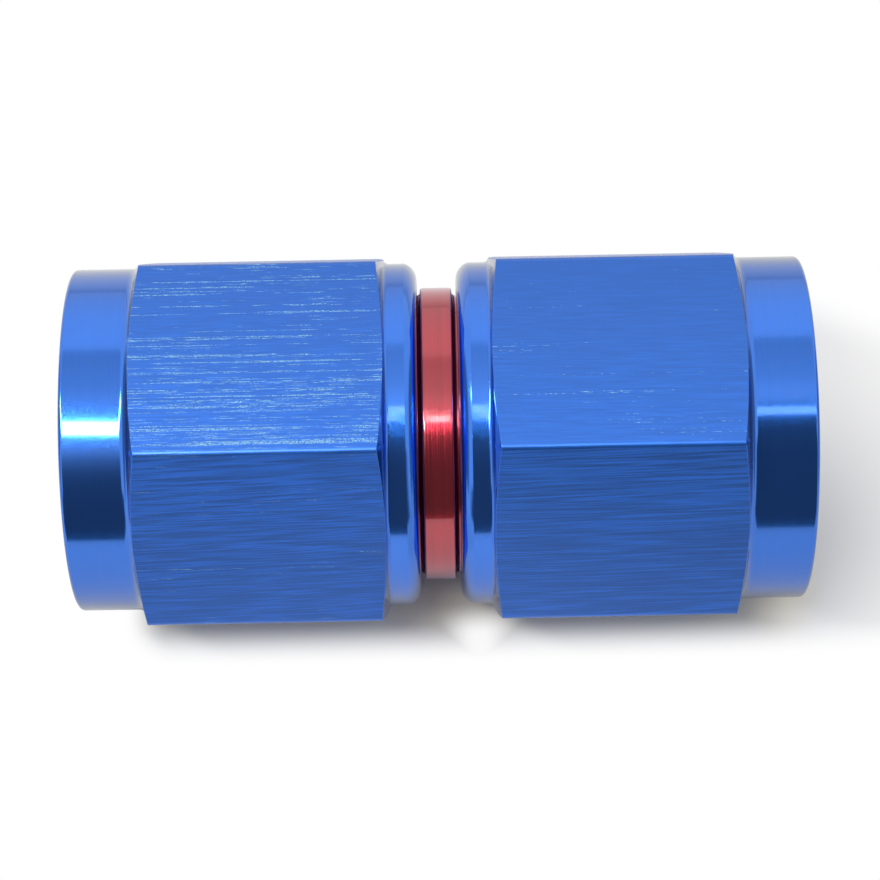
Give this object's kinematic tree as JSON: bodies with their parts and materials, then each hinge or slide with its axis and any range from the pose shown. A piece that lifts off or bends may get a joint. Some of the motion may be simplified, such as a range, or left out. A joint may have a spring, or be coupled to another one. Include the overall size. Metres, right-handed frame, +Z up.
{
  "type": "flared hose and tube coupler with two swivel nuts",
  "caption": "Straight coupler fitting: a turned centre body with a flare seat at each end, and a hexagonal swivel nut with an internal thread snapped over each end.",
  "frame": {"origin": "centre of the body's collar, on the common axis", "axes": "+X along the axis towards the right-hand nut's mouth, +Z up from the flats that the nuts rest on, +Y away from the viewer"},
  "size_m": [0.0523, 0.0292, 0.0254],
  "materials": {
    "red_anodised": "turned and anodised red",
    "blue_anodised": "brushed flats and turned collars, anodised blue",
    "spring_wire": "drawn stainless spring wire"
  },
  "bodies": {
    "body": {"coupling_body": "red_anodised"},
    "left_ring": {"retaining_ring_left": "spring_wire"},
    "left_nut": {"swivel_nut_left": "blue_anodised"},
    "right_ring": {"retaining_ring_right": "spring_wire"},
    "right_nut": {"swivel_nut_right": "blue_anodised"}
  },
  "joints": [
    {"name": "left_end_float", "type": "slide", "parent": "body", "child": "left_ring", "axis": [-1, 0, 0], "range_m": [-0.00012, 0.00023]},
    {"name": "left_swivel", "type": "hinge", "parent": "left_ring", "child": "left_nut", "pos_m": [-0.00557, 0, 0], "axis": [1, 0, 0], "continuous": true},
    {"name": "right_end_float", "type": "slide", "parent": "body", "child": "right_ring", "axis": [1, 0, 0], "range_m": [-0.00022, 0.00013]},
    {"name": "right_swivel", "type": "hinge", "parent": "right_ring", "child": "right_nut", "pos_m": [0.00567, 0, 0], "axis": [1, 0, 0], "continuous": true}
  ]
}
